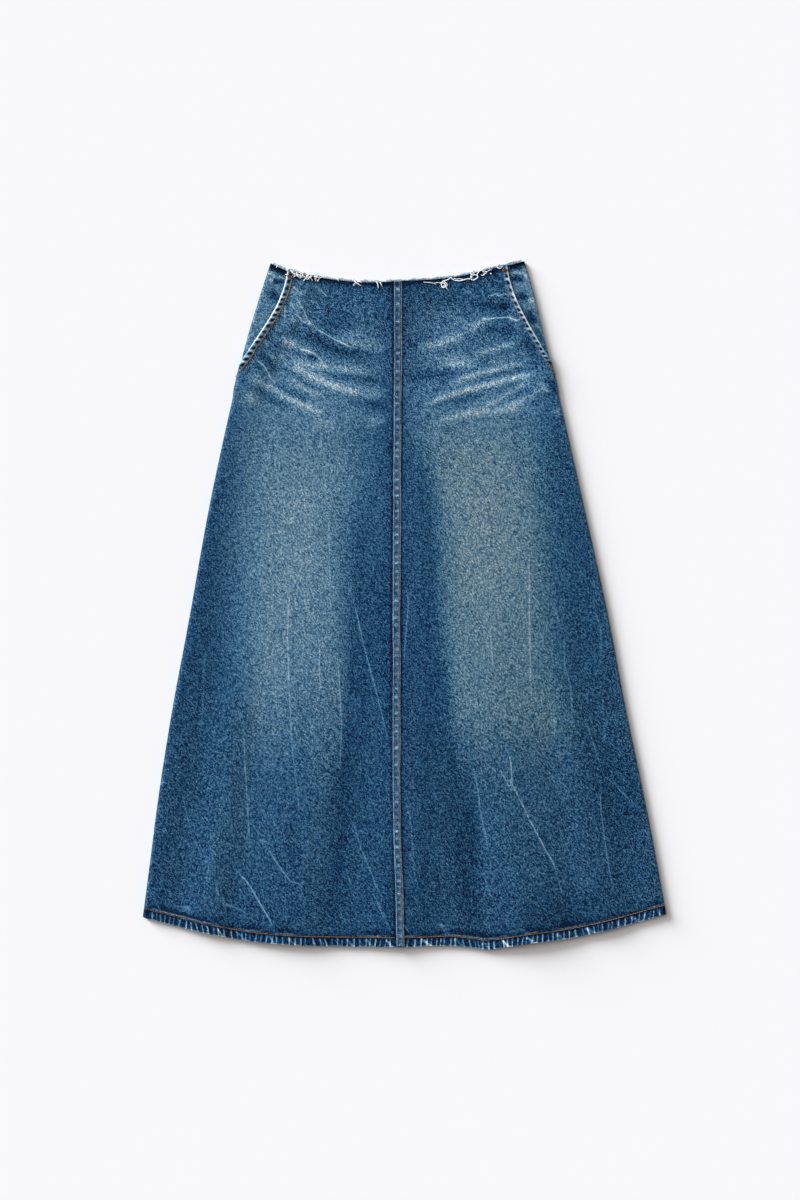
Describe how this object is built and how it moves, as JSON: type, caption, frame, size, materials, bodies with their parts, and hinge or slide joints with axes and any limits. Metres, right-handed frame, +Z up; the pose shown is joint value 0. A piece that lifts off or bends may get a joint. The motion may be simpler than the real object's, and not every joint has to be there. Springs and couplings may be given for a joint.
{
  "type": "a-line denim skirt laid flat",
  "caption": "Flat-laid A-line midi skirt in faded denim: raw frayed waist, felled centre front seam, slanted hip pockets, stitched hem and a zip in the centre back seam.",
  "frame": {"origin": "on the surface that the skirt lies on, under the middle of its box", "axes": "+Y from the hem to the waist, +X to the wearer's left, +Z up from the surface, out of the front"},
  "size_m": [0.7448, 0.979, 0.0139],
  "materials": {
    "denim": "matte washed indigo twill with pale fades on the thighs and hips",
    "denim_seam": "matte indigo twill, worn pale on its raised folds",
    "denim_hem": "matte indigo twill in three layers, roped and worn along its ridges",
    "frayed_yarn": "matte frayed cotton yarn, white and pale blue",
    "zip_tape": "matte navy woven tape with a nylon coil",
    "zip_metal": "satin antique brass"
  },
  "bodies": {
    "skirt": {"front_panel_right": "denim", "front_panel_left": "denim", "back_panel_right": "denim", "back_panel_left": "denim", "front_seam": "denim_seam", "pocket_facing_right": "denim", "pocket_facing_left": "denim", "pocket_edge_right": "denim_seam", "pocket_edge_left": "denim_seam", "front_hem_right": "denim_hem", "front_hem_left": "denim_hem", "back_hem_right": "denim_hem", "back_hem_left": "denim_hem", "waist_fray_front": "frayed_yarn", "waist_fray_back_right": "frayed_yarn", "waist_fray_back_left": "frayed_yarn", "zip_tape_right": "zip_tape", "zip_tape_left": "zip_tape", "zip_slider": "zip_metal"},
    "pull": {"zip_pull": "zip_metal"}
  },
  "joints": [
    {"name": "pull_swing", "type": "hinge", "parent": "skirt", "child": "pull", "pos_m": [-0.01018, 0.44017, 0.0014], "axis": [1, 0, 0], "range_deg": [0, 170]}
  ]
}
